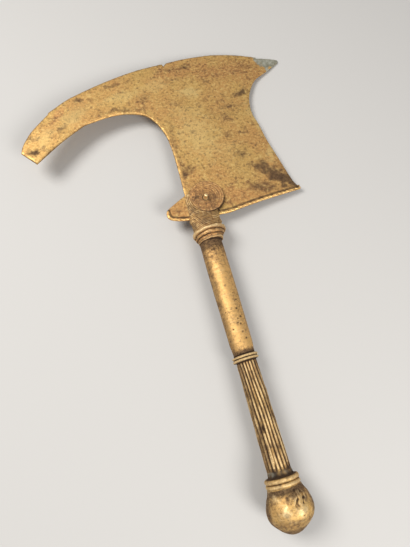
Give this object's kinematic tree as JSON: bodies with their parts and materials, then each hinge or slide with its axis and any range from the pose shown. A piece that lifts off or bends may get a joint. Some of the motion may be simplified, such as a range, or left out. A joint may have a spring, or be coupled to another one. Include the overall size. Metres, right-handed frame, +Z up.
{
  "type": "bronze axe",
  "caption": "Ceremonial cast axe with a thin sickle blade, a hooked arm and a beak, held in the forked head of a round handle with a fluted grip and an acorn pommel.",
  "frame": {"origin": "middle of the footprint of the lying axe, on the surface that it lies on", "axes": "+Y runs along the handle from the pommel toward the blade, +X points to the side of the beak and the heel, +Z points up from the surface that the axe lies on"},
  "size_m": [0.2794, 0.4556, 0.0366],
  "materials": {
    "blade_metal": "old cast bronze plate, dull golden with brown stains, pits and a worn bright edge",
    "handle_metal": "old cast bronze, rubbed golden on the shaft and pommel, brown dirt in the grooves"
  },
  "bodies": {
    "root": {"blade": "blade_metal", "handle": "handle_metal"}
  },
  "joints": []
}
